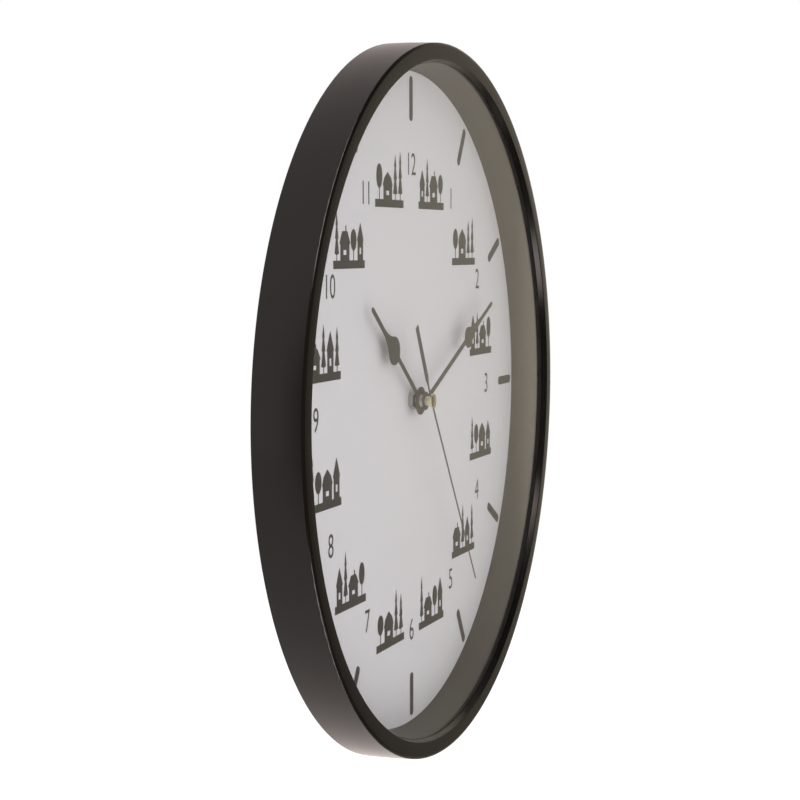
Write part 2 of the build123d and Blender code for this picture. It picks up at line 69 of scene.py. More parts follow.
class ClockColours(PropertyGroup):
    """Base colours of the finishes."""

    case: FloatVectorProperty(name="Case", description="Satin black of the rim", subtype="COLOR",
                              size=3, min=0, max=1, default=(0.0060, 0.0048, 0.0041))
    spacer: FloatVectorProperty(name="Spacer", description="Dark ring between lens and dial", subtype="COLOR",
                                size=3, min=0, max=1, default=(0.016, 0.014, 0.012))
    dial: FloatVectorProperty(name="Dial", description="White of the dial", subtype="COLOR",
                              size=3, min=0, max=1, default=(0.79, 0.757, 0.80))
    lens: FloatVectorProperty(name="Lens", description="Tint of the clear lens", subtype="COLOR",
                              size=3, min=0, max=1, default=(0.985, 0.99, 0.985))
    lens_light: FloatVectorProperty(name="Light through the lens", description="Light that reaches the dial",
                                    subtype="COLOR", size=3, min=0, max=1, default=(0.93, 0.935, 0.93))
    ink: FloatVectorProperty(name="Ink", description="Dark ink of the dial print", subtype="COLOR",
                             size=3, min=0, max=1, default=(0.030, 0.028, 0.026))
    hands: FloatVectorProperty(name="Hands", description="Black paint of the hands", subtype="COLOR",
                               size=3, min=0, max=1, default=(0.046, 0.042, 0.037))
    cover: FloatVectorProperty(name="Rear cover", description="Grained black of the back", subtype="COLOR",
                               size=3, min=0, max=1, default=(0.022, 0.022, 0.023))
    brass: FloatVectorProperty(name="Brass", description="Cap on the second hand", subtype="COLOR",
                               size=3, min=0, max=1, default=(0.90, 0.80, 0.46))


class ClockPrint(PropertyGroup):
    """Sizes of what is printed on the dial."""

    thickness: FloatProperty(name="Ink thickness", description="How far the print stands off the dial",
                             default=0.00005, min=0.00001, unit="LENGTH", precision=5)
    bar_inner: FloatProperty(name="Bar inner end", description="Radius at which an hour bar starts",
                             default=0.1583, min=0, unit="LENGTH", precision=4)
    bar_outer: FloatProperty(name="Bar outer end", description="Radius at which an hour bar ends",
                             default=0.1834, min=0, unit="LENGTH", precision=4)
    bar_width: FloatProperty(name="Bar width", description="Width of an hour bar",
                             default=0.0054, min=0, unit="LENGTH", precision=4)
    numeral_radius: FloatProperty(name="Numeral circle", description="Radius of the hour numerals' middles",
                                  default=0.1335, min=0, unit="LENGTH", precision=4)
    numeral_height: FloatProperty(name="Numeral size", description="Type size of the hour numerals",
                                  default=0.0180, min=0, unit="LENGTH", precision=4)
    numeral_narrowing: FloatProperty(name="Numeral narrowing",
                                     description="Width of a numeral over the type's own",
                                     default=0.86, min=0.1, max=1, subtype="FACTOR")
    scene_radius: FloatProperty(name="Cottage circle", description="Radius of the cottage rows' middles",
                                default=0.1270, min=0, unit="LENGTH", precision=4)
    scene_width: FloatProperty(name="Cottage row width", description="Width of one row of cottages and trees",
                               default=0.0420, min=0, unit="LENGTH", precision=4)
    scene_height: FloatProperty(name="Cottage row height", description="Height of a row's tallest tree",
                                default=0.0270, min=0, unit="LENGTH", precision=4)


class ClockFittings(PropertyGroup):
    """Sizes of the small fittings."""

    nut_corner: FloatProperty(name="Nut chamfer circle",
                              description="Radius where the nut's corners are turned off",
                              default=0.0044, min=0, unit="LENGTH", precision=4)
    nut_bore: FloatProperty(name="Nut bore", description="Radius of the hole in the nut",
                            default=0.00392, min=0, unit="LENGTH", precision=5)
    nut_lead_in: FloatProperty(name="Nut lead-in", description="Bevel at the mouth of the nut's hole",
                               default=0.0003, min=0, unit="LENGTH", precision=4)
    screw_head: FloatProperty(name="Screw head", description="Radius of a cover screw's head",
                              default=0.0023, min=0, unit="LENGTH", precision=4)
    screw_shank: FloatProperty(name="Screw shank", description="Radius of a cover screw's shank",
                               default=0.0013, min=0, unit="LENGTH", precision=4)
    screw_head_height: FloatProperty(name="Screw head height", description="Height of a cover screw's head",
                                     default=0.0012, min=0, unit="LENGTH", precision=4)
    cell_nub: FloatProperty(name="Cell nub", description="Radius of the cell's positive nub",
                            default=0.00275, min=0, unit="LENGTH", precision=5)
    cell_nub_length: FloatProperty(name="Cell nub length", description="How far the positive nub stands out",
                                   default=0.0015, min=0, unit="LENGTH", precision=4)
    cell_crimp: FloatProperty(name="Cell crimp", description="Width of the sleeve's edge on the cell's ends",
                              default=0.0007, min=0, unit="LENGTH", precision=4)
    sign_size: FloatProperty(name="Sign size", description="Size of the signs on the cell",
                             default=0.0052, min=0, unit="LENGTH", precision=4)


class ClockStudio(PropertyGroup):
    """Camera, lamps and floor."""

    camera_offset: FloatVectorProperty(name="Camera", description="Camera's place from the middle of the front",
                                       default=(-0.9511, -0.3421, 0.0884), subtype="TRANSLATION",
                                       unit="LENGTH")
    camera_aim: FloatVectorProperty(name="Aim", description="Point looked at, from the middle of the front",
                                    default=(-0.0235, 0.0213, 0.0022), subtype="TRANSLATION", unit="LENGTH")
    camera_roll: FloatProperty(name="Roll", description="Turn of the camera about its line of sight",
                               default=math.radians(-0.094), unit="ROTATION", precision=4)
    focal_length: FloatProperty(name="Focal length", description="Lens on a 36 mm wide sensor",
                                default=80.435, min=1, unit="CAMERA")
    key_place: FloatVectorProperty(name="Key lamp's place", description="Place from the middle of the front",
                                   default=(-0.55, -0.62, -0.74), subtype="TRANSLATION", unit="LENGTH")
    key_size: FloatProperty(name="Key lamp's size", description="Width of the low lamp at the left",
                            default=0.8, min=0, unit="LENGTH")
    key_power: FloatProperty(name="Key lamp", description="Power of the low lamp at the left",
                             default=3.1, min=0, unit="POWER")
    fill_place: FloatVectorProperty(name="Fill lamp's place", description="Place from the middle of the front",
                                    default=(-0.72, -1.10, 0.10), subtype="TRANSLATION", unit="LENGTH")
    fill_size: FloatProperty(name="Fill lamp's size", description="Width of the lamp at the front left",
                             default=0.9, min=0, unit="LENGTH")
    fill_power: FloatProperty(name="Fill lamp", description="Power of the lamp at the front left",
                              default=3.6, min=0, unit="POWER")
    sky: FloatProperty(name="Surrounding light", description="Strength of the light from all round",
                       default=0.86, min=0)
    wall: FloatVectorProperty(name="Wall", description="Warm white of the room that the gloss mirrors",
                              subtype="COLOR", size=3, min=0, max=1, default=(0.96, 0.84, 0.80))
    floor: FloatVectorProperty(name="Floor", description="Pale colour of the floor", subtype="COLOR",
                               size=3, min=0, max=1, default=(0.88, 0.88, 0.88))
    floor_drop: FloatProperty(name="Floor drop",
                              description="Height of the clock's lowest point above the floor",
                              default=1.0, min=0, unit="LENGTH")
    floor_radius: FloatProperty(name="Floor radius", description="Radius of the round floor",
                                default=6.0, min=0, unit="LENGTH")
    floor_glow: FloatProperty(name="Floor glow", description="Strength of the floor's own white in the picture",
                              default=0.4, min=0)
    card: FloatVectorProperty(name="Card", description="Colour of the card that the lens mirrors",
                              subtype="COLOR", size=3, min=0, max=1, default=(0.31, 0.275, 0.22))
    card_radius: FloatProperty(name="Card radius", description="Radius of the card's shell round the clock",
                               default=0.8, min=0, unit="LENGTH")
    card_height: FloatProperty(name="Card height", description="Height of the card's shell",
                               default=2.2, min=0, unit="LENGTH")


# Selecting and placing

def deselect():
    bpy.ops.object.select_all(action="DESELECT")


def work_on(piece):
    deselect()
    piece.select_set(True)
    bpy.context.view_layer.objects.active = piece


def edit(piece):
    work_on(piece)
    bpy.ops.object.mode_set(mode="EDIT")


def done_editing():
    bpy.ops.object.mode_set(mode="OBJECT")


def choose(piece, kind, test):
    """In edit mode, select the edges or faces that pass a test."""
    bpy.ops.mesh.select_mode(type=kind)
    bpy.ops.mesh.select_all(action="DESELECT")
    mesh = bmesh.from_edit_mesh(piece.data)
    mesh.normal_update()
    for item in {"EDGE": mesh.edges, "FACE": mesh.faces}[kind]:
        item.select_set(bool(test(item)))
    mesh.select_flush_mode()
    bmesh.update_edit_mesh(piece.data)


def middle(edge):
    return (edge.verts[0].co + edge.verts[1].co) / 2


def settle(piece):
    """Put a piece's place, turn and scale into its mesh."""
    work_on(piece)
    bpy.ops.object.transform_apply(location=True, rotation=True, scale=True)


def copy_of(piece):
    work_on(piece)
    bpy.ops.object.duplicate(linked=False)
    return bpy.context.active_object


def joined(pieces, name):
    deselect()
    for piece in pieces:
        piece.select_set(True)
    bpy.context.view_layer.objects.active = pieces[0]
    bpy.ops.object.join()
    pieces[0].name = name
    return pieces[0]


def removed(piece):
    work_on(piece)
    bpy.ops.object.delete()


def applied(piece, kind, **settings):
    """Add a modifier, set it and apply it."""
    work_on(piece)
    bpy.ops.object.modifier_add(type=kind)
    modifier = piece.modifiers[-1]
    for name, value in settings.items():
        setattr(modifier, name, value)
    bpy.ops.object.modifier_apply(modifier=modifier.name)


def carved(piece, cutter, operation="DIFFERENCE"):
    applied(piece, "BOOLEAN", object=cutter, operation=operation, solver="EXACT")
    removed(cutter)


def smooth(piece, degrees=30):
    work_on(piece)
    bpy.ops.object.shade_smooth_by_angle(angle=math.radians(degrees))


def drum(vertices, radius, low, high):
    """A cylinder to start a turned piece from."""
    deselect()
    bpy.ops.mesh.primitive_cylinder_add(vertices=vertices, radius=radius, depth=high - low,
                                        location=(0, 0, (low + high) / 2))
    piece = bpy.context.active_object
    settle(piece)
    return piece


def stand_up(piece, face, rear=False):
    """Turn a flat drawing, with z towards its viewer, to the front or the rear, its z = 0 at y = face."""
    piece.rotation_euler = (math.radians(90), 0, math.radians(180) if rear else 0)
    piece.location = (0, face, axis_height)
    settle(piece)


def finished(piece, name, material, body, slot, *nodes):
    """Name a piece, give it its finish and tie it to the frame."""
    piece.name = name
    piece.data.name = name
    piece.data.materials.clear()
    piece.data.materials.append(material)
    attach(piece, body)
    if nodes:
        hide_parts(*nodes)


def dress(material, *nodes):
    """Give CAD nodes their finish."""
    for name in nodes:
        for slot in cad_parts[name].material_slots:
            slot.material = material


def on_dial(radius, clockwise):
    """Point of the flat drawing at so many degrees clockwise from twelve."""
    angle = math.radians(clockwise)
    return Vector((radius * math.sin(angle), radius * math.cos(angle), 0))


def round_from_front(point):
    """Degrees round the upright axis from straight ahead of the dial, to the viewer's right."""
    return math.degrees(math.atan2(point.x, -point.y))


# Materials, whose helpers serve the world's nodes as well

noise_span = (0.3, 0.7)
patch_size = 0.02
acrylic_index = 1.49


def node(material, kind, **values):
    """Add a node and set its inputs or settings by name."""
    new = material.node_tree.nodes.new(kind)
    for name, value in values.items():
        if name in new.inputs:
            new.inputs[name].default_value = value
        else:
            setattr(new, name, value)
    return new


def link(material, output, socket):
    material.node_tree.links.new(output, socket)


def maths(material, operation, *values):
    """Math node on outputs of other nodes and plain numbers."""
    sum_up = node(material, "ShaderNodeMath", operation=operation)
    for socket, value in zip(sum_up.inputs, values):
        if isinstance(value, float):
            socket.default_value = value
        else:
            link(material, value, socket)
    return sum_up.outputs[0]


def ranged(material, value, source, target):
    """Map a value from one range to another, and hold it at the ends."""
    spread = node(material, "ShaderNodeMapRange", **{"From Min": source[0], "From Max": source[1],
                                                     "To Min": target[0], "To Max": target[1]})
    link(material, value, spread.inputs["Value"])
    return spread.outputs["Result"]


def ramp(material, value, stops):
    """Level that goes in straight lines from stop to stop, each a value and a level."""
    total = None
    for (low, level), (high, following) in zip(stops, stops[1:]):
        if total is None:
            total = ranged(material, value, (low, high), (level, following))
        else:
            rise = ranged(material, value, (low, high), (0.0, following - level))
            total = maths(material, "ADD", total, rise)
    return total


def axes(material, coordinates="Object"):
    """X, Y and Z of the place or direction that is shaded."""
    split = node(material, "ShaderNodeSeparateXYZ")
    link(material, node(material, "ShaderNodeTexCoord").outputs[coordinates], split.inputs[0])
    return split.outputs


def pictured(material, path):
    """1 for what the camera sees directly, through glass or in gloss, and 0 for light on other things."""
    seen = maths(material, "MAXIMUM", path["Is Camera Ray"], path["Is Transmission Ray"])
    return maths(material, "MAXIMUM", seen, path["Is Glossy Ray"])


def noise(material, place, size):
    """Noise whose features are about so many metres across."""
    texture = node(material, "ShaderNodeTexNoise", Scale=1.0 / size, Detail=3)
    link(material, place, texture.inputs["Vector"])
    return texture.outputs["Fac"]


def finish(name, colour, roughness, metallic=0.0, specular=0.5, grain=0.0006, depth=0.00001,
           mottle=0.12, rough_swing=0.06):
    """Procedural finish: patches a little lighter and darker, and a fine grain in gloss and height."""
    material = bpy.data.materials.new(name)
    material.use_nodes = True
    shader = material.node_tree.nodes["Principled BSDF"]
    shader.inputs["Metallic"].default_value = metallic
    shader.inputs["Specular IOR Level"].default_value = specular
    place = node(material, "ShaderNodeTexCoord").outputs["Object"]
    tint = node(material, "ShaderNodeMix", data_type="RGBA",
                A=(*[c * (1 - mottle) for c in colour], 1),
                B=(*[min(1, c * (1 + mottle)) for c in colour], 1))
    patches = ranged(material, noise(material, place, patch_size), noise_span, (0, 1))
    link(material, patches, tint.inputs["Factor"])
    link(material, tint.outputs["Result"], shader.inputs["Base Color"])
    fine = noise(material, place, grain)
    rough = ranged(material, fine, noise_span, (roughness - rough_swing, roughness + rough_swing))
    link(material, rough, shader.inputs["Roughness"])
    bump = node(material, "ShaderNodeBump", Strength=1.0, Distance=depth)
    link(material, fine, bump.inputs["Height"])
    link(material, bump.outputs["Normal"], shader.inputs["Normal"])
    return material


def clear_lens(colours):
    """Clear acrylic that lets the lamps through to the dial."""
    material = bpy.data.materials.new("clear_lens")
    material.use_nodes = True
    shader = material.node_tree.nodes["Principled BSDF"]
    shader.inputs["Base Color"].default_value = (*colours.lens, 1)
    shader.inputs["Roughness"].default_value = 0.0
    shader.inputs["IOR"].default_value = acrylic_index
    shader.inputs["Transmission Weight"].default_value = 1.0
    path = node(material, "ShaderNodeLightPath").outputs
    lighting = maths(material, "MAXIMUM", path["Is Shadow Ray"], path["Is Diffuse Ray"])
    through = node(material, "ShaderNodeBsdfTransparent", Color=(*colours.lens_light, 1))
    mix = node(material, "ShaderNodeMixShader")
    link(material, lighting, mix.inputs["Fac"])
    link(material, shader.outputs[0], mix.inputs[1])
    link(material, through.outputs[0], mix.inputs[2])
    link(material, mix.outputs[0], material.node_tree.nodes["Material Output"].inputs["Surface"])
    return material


def print_ink(context):
    """The ink that all the print on the dial shares."""
    return bpy.data.materials.get("print_ink") or finish(
        "print_ink", context.scene.clock_colours.ink, roughness=0.55, specular=0.3, grain=0.0003, mottle=0.1)


# Plain houses and trees of the dial print, drawn upwards as (height, width) in a square of 1

def crown(low, high, width, steps=9):
    """Stations of a round tree top."""
    turns = [math.pi * (k + 0.5) / steps for k in range(steps)]
    return tuple((low + (high - low) * (1 - math.cos(a)) / 2, width * math.sin(a)) for a in turns)


stations = {
    "lawn": ((0, 1.0), (1.0, 0.97)),
    "cottage": ((0, 0.84), (0.46, 0.84), (0.50, 1.0), (0.84, 0.48)),
    "gable": ((0, 0.78), (0.50, 0.78), (0.54, 0.94), (1.0, 0.06)),
    "barn": ((0, 0.86), (0.48, 0.86), (0.52, 0.98), (0.78, 0.70), (1.0, 0.06)),
    "fir": ((0, 0.14), (0.12, 0.14), (0.14, 0.86), (0.44, 0.36), (0.46, 0.66), (0.72, 0.26), (0.74, 0.46),
            (1.0, 0.03)),
    "tree": ((0, 0.12), (0.30, 0.12), *crown(0.30, 1.0, 0.92)),
}
houses = ("cottage", "gable", "barn")
house_wall = 0.16
window_share = 0.5
chimney_place = 0.2

# Sizes of the shapes over the row they stand in, and the rows in turn
widths = {"cottage": 1.5, "gable": 1.0, "barn": 1.4, "fir": 0.7, "tree": 0.9}
heights = {"cottage": 0.62, "gable": 0.72, "barn": 0.60, "fir": 0.92, "tree": 0.66}
rows = (("fir", "cottage", "tree", "gable"), ("tree", "barn", "fir", "fir"),
        ("gable", "fir", "cottage", "tree"), ("fir", "tree", "barn", "gable"),
        ("cottage", "fir", "gable", "fir"))
lawn_share = 0.16
built_share = 0.94
height_swing = 0.08


def flat_shape(kind):
    """Outline of one plain house or tree, 1 wide and 1 high on the x axis."""
    (_, width), (eaves, _), *rest = stations[kind]
    height = eaves
    deselect()
    bpy.ops.mesh.primitive_plane_add(size=1, location=(0, 0.5, 0))
    shape = bpy.context.active_object
    settle(shape)
    shape.scale = (width, height, 1)
    settle(shape)
    edit(shape)
    choose(shape, "EDGE", lambda e: abs(middle(e).y - height) < close)
    for top, span in rest:
        bpy.ops.mesh.extrude_region_move(TRANSFORM_OT_translate={"value": (0, top - height, 0)})
        bpy.ops.transform.resize(value=(span / width, 1, 1))
        height, width = top, span
    if kind == "cottage":
        bpy.ops.mesh.subdivide(number_cuts=4)
        choose(shape, "EDGE", lambda e: middle(e).y > height - close
               and abs(middle(e).x - chimney_place * width) < 10 * close)
        bpy.ops.mesh.extrude_region_move(TRANSFORM_OT_translate={"value": (0, 1 - height, 0)})
    if kind in houses:
        choose(shape, "FACE", lambda f: f.calc_center_median().y < eaves)
        bpy.ops.mesh.inset(thickness=house_wall)
        bpy.ops.transform.resize(value=(window_share, 1, 1))
        bpy.ops.mesh.delete(type="FACE")
    done_editing()
    return shape


# Glow of the reflection card, first by degrees round from the front, then by height in metres

card_ends = (-102, 107)
card_cap = 0.1
card_gap = 0.01
card_across = ((-96, 0.12), (-80, 0.4), (40, 0.3), (50, 0.4), (56, 0.55), (60, 0.75), (64.5, 1.05), (67.5, 1.2),
               (72.4, 1.25), (74.3, 1.9), (76, 2.15), (81, 2.9), (85, 2.2), (90, 0.5))
card_upward = ((-0.45, 0.6), (-0.29, 0.85), (-0.22, 0.95), (-0.12, 1.0), (0.10, 1.12), (0.28, 1.2), (0.50, 0.7),
               (0.70, 0.25))

# Pale sheets at the card's far left, above and below the clock
sheet_across = ((-82, 0.0), (-78, 1.0), (-62, 1.0), (-56, 0.0))
sheet_upward = ((-0.85, 10.0), (-0.62, 0.0), (0.38, 0.0), (0.62, 10.0), (0.95, 10.0), (1.0, 0.0))

# The room in the gloss fades from the left, by the x of the direction, to the right
room_span = (-0.6, 0.9)
room_levels = (1.3, 0.65)
floor_in_gloss = 0.9


# Operators, one for each piece or group of like pieces

class CLOCK_OT_case(Operator):
    """Finish the rim, the lens, the spacer ring and the dial plate"""

    bl_idname = "clock.case"
    bl_label = "Case, lens and dial"

    def execute(self, context):
        colours = context.scene.clock_colours
        dress(finish("satin_black", colours.case, roughness=0.15, specular=0.265, grain=0.0004, depth=0.0000002,
                     rough_swing=0.01, mottle=0.06), "case_rim")
        dress(finish("spacer_plastic", colours.spacer, roughness=0.5, specular=0.35), "spacer_ring")
        dress(finish("dial_paint", colours.dial, roughness=0.6, specular=0.3, grain=0.0004, mottle=0.008),
              "dial_plate")
        dress(clear_lens(colours), "lens")
        return {"FINISHED"}


class CLOCK_OT_hour_bars(Operator):
    """Print the twelve hour bars"""

    bl_idname = "clock.hour_bars"
    bl_label = "Hour bars"

    def execute(self, context):
        sizes = context.scene.clock_print
        length = sizes.bar_outer - sizes.bar_inner
        corner = 0.42 * sizes.bar_width
        deselect()
        bpy.ops.mesh.primitive_plane_add(size=1, location=(0, (sizes.bar_inner + sizes.bar_outer) / 2, 0))
        bar = bpy.context.active_object
        bar.scale = (sizes.bar_width, length, 1)
        settle(bar)
        edit(bar)
        bpy.ops.mesh.select_all(action="SELECT")
        bpy.ops.mesh.bevel(affect="VERTICES", offset=corner, segments=5, profile=0.5)
        done_editing()
        bars = [bar]
        for hour in hours[1:]:
            copy = copy_of(bar)
            copy.rotation_euler.z = -math.radians(hour_angle * (hour - 1))
            bars.append(copy)
        for bar in bars:
            settle(bar)
        bars = joined(bars, "hour_bars")
        applied(bars, "SOLIDIFY", thickness=sizes.thickness, offset=1)
        stand_up(bars, dial_face)
        finished(bars, "hour_bars", print_ink(context), "case", "hand_black")
        return {"FINISHED"}


class CLOCK_OT_numerals(Operator):
    """Print the hour numerals"""

    bl_idname = "clock.numerals"
    bl_label = "Hour numerals"

    def execute(self, context):
        sizes = context.scene.clock_print
        numerals = []
        for hour in hours:
            deselect()
            bpy.ops.object.text_add(location=on_dial(sizes.numeral_radius, hour_angle * hour))
            text = bpy.context.active_object
            text.data.body = str(hour)
            text.data.size = sizes.numeral_height
            text.data.align_x = "CENTER"
            text.data.align_y = "CENTER"
            text.data.resolution_u = 5
            bpy.ops.object.convert(target="MESH")
            numeral = bpy.context.active_object
            numeral.scale.x = sizes.numeral_narrowing
            settle(numeral)
            numerals.append(numeral)
        numerals = joined(numerals, "hour_numerals")
        edit(numerals)
        bpy.ops.mesh.select_all(action="SELECT")
        bpy.ops.mesh.remove_doubles(threshold=tiny)
        done_editing()
        applied(numerals, "SOLIDIFY", thickness=sizes.thickness, offset=1)
        stand_up(numerals, dial_face)
        finished(numerals, "hour_numerals", print_ink(context), "case", "hand_black")
        return {"FINISHED"}


class CLOCK_OT_cottages(Operator):
    """Print the rows of cottages and trees between the hours"""

    bl_idname = "clock.cottages"
    bl_label = "Cottage rows"

    def execute(self, context):
        sizes = context.scene.clock_print
        patterns = {kind: flat_shape(kind) for kind in stations}
        lawn = lawn_share * sizes.scene_height
        built = built_share * sizes.scene_width
        shapes = []
        for hour in hours:
            row = rows[hour % len(rows)]
            place = on_dial(sizes.scene_radius, hour_angle * (hour + 0.5))
            ground = place.y - sizes.scene_height / 2
            unit = built / sum(widths[kind] for kind in row)
            x = place.x - built / 2
            strip = copy_of(patterns["lawn"])
            strip.scale = (sizes.scene_width, lawn, 1)
            strip.location = (place.x, ground, 0)
            shapes.append(strip)
            for k, kind in enumerate(row):
                shape = copy_of(patterns[kind])
                tall = heights[kind] * (1 + height_swing * ((hour + k) % 3 - 1))
                shape.scale = (unit * widths[kind], sizes.scene_height * tall, 1)
                shape.location = (x + unit * widths[kind] / 2, ground + lawn, 0)
                x += unit * widths[kind]
                shapes.append(shape)
        for shape in shapes:
            settle(shape)
        for pattern in patterns.values():
            removed(pattern)
        shapes = joined(shapes, "cottage_rows")
        applied(shapes, "SOLIDIFY", thickness=sizes.thickness, offset=1)
        stand_up(shapes, dial_face)
        finished(shapes, "cottage_rows", print_ink(context), "case", "hand_black")
        return {"FINISHED"}


class CLOCK_OT_hands(Operator):
    """Finish the hands, their collets, the boss and the cap"""

    bl_idname = "clock.hands"
    bl_label = "Hands and centre"

    def execute(self, context):
        colours = context.scene.clock_colours
        dress(finish("hand_paint", colours.hands, roughness=0.45, grain=0.0003),
              "hour_hand", "minute_hand", "second_hand")
        dress(finish("collet_metal", (0.92, 0.91, 0.86), roughness=0.5, metallic=0.5, grain=0.0002),
              "hour_hand_collet", "minute_hand_collet")
        dress(finish("cap_brass", colours.brass, roughness=0.14, metallic=1.0, grain=0.0002, rough_swing=0.03),
              "second_hand_cap")
        dress(finish("boss_metal", (0.80, 0.79, 0.62), roughness=0.4, metallic=0.7, grain=0.0002),
              "second_hand_boss")
        return {"FINISHED"}


class CLOCK_OT_nut(Operator):
    """Turn the hexagon nut, with its corners chamfered"""

    bl_idname = "clock.nut"
    bl_label = "Nut"

    def execute(self, context):
        sizes = context.scene.clock_fittings
        low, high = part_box("mounting_nut")
        thickness = high.y - low.y
        corner = (high.z - low.z) / 2
        nut = drum(6, corner, 0, thickness)
        deselect()
        bpy.ops.mesh.primitive_cone_add(vertices=96, radius1=sizes.nut_corner + 2 * thickness,
                                        radius2=sizes.nut_corner, depth=thickness,
                                        location=(0, 0, thickness / 2))
        cone = bpy.context.active_object
        settle(cone)
        carved(nut, cone, "INTERSECT")
        carved(nut, drum(64, sizes.nut_bore, -thickness, 2 * thickness))
        edit(nut)
        choose(nut, "EDGE", lambda e: all(v.co.z > thickness - tiny and v.co.xy.length < sizes.nut_bore + close
                                          for v in e.verts))
        bpy.ops.mesh.bevel(offset=sizes.nut_lead_in, segments=2)
        done_editing()
        smooth(nut)
        stand_up(nut, high.y)
        metal = finish("nut_metal", (0.46, 0.455, 0.44), roughness=0.32, metallic=1.0, grain=0.0002)
        finished(nut, "hexagon_nut", metal, "case", "nut_grey", "mounting_nut")
        return {"FINISHED"}


class CLOCK_OT_screws(Operator):
    """Form one cross-head screw and set eight of them round the cover"""

    bl_idname = "clock.screws"
    bl_label = "Cover screws"

    def execute(self, context):
        sizes = context.scene.clock_fittings
        low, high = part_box("cover_screws")
        head, tall = sizes.screw_head, sizes.screw_head_height
        count = 8
        apart = 360 / count
        own_turn = 37
        dome = 0.62 * tall
        slot_length, slot_width, slot_depth = 1.15 * head, 0.26 * head, 0.6 * tall
        ring = ((high.x - low.x) / 2 - head) / math.cos(math.radians(apart / 2))
        screw = drum(32, head, 0, tall)
        edit(screw)
        choose(screw, "FACE", lambda f: f.normal.z < -facing)
        bpy.ops.mesh.inset(thickness=head - sizes.screw_shank)
        bpy.ops.mesh.extrude_region_move(TRANSFORM_OT_translate={"value": (0, 0, -(high.y - low.y - tall))})
        choose(screw, "EDGE", lambda e: all(v.co.z > tall - tiny for v in e.verts))
        bpy.ops.mesh.bevel(offset=dome, segments=5, profile=0.5)
        done_editing()
        for turn in (0, 90):
            deselect()
            bpy.ops.mesh.primitive_cube_add(size=1, location=(0, 0, tall))
            slot = bpy.context.active_object
            slot.scale = (slot_length, slot_width, 2 * slot_depth)
            slot.rotation_euler.z = math.radians(turn)
            settle(slot)
            carved(screw, slot)
        smooth(screw)
        screws = [screw] + [copy_of(screw) for k in range(count - 1)]
        for k, copy in enumerate(screws):
            copy.location = on_dial(ring, apart * (k + 0.5))
            copy.rotation_euler.z = math.radians(own_turn * k)
        for copy in screws:
            settle(copy)
        screws = joined(screws, "cross_head_screws")
        stand_up(screws, high.y - tall, rear=True)
        zinc = finish("screw_zinc", (0.60, 0.60, 0.61), roughness=0.32, metallic=1.0)
        finished(screws, "cross_head_screws", zinc, "case", "screw_steel", "cover_screws")
        return {"FINISHED"}


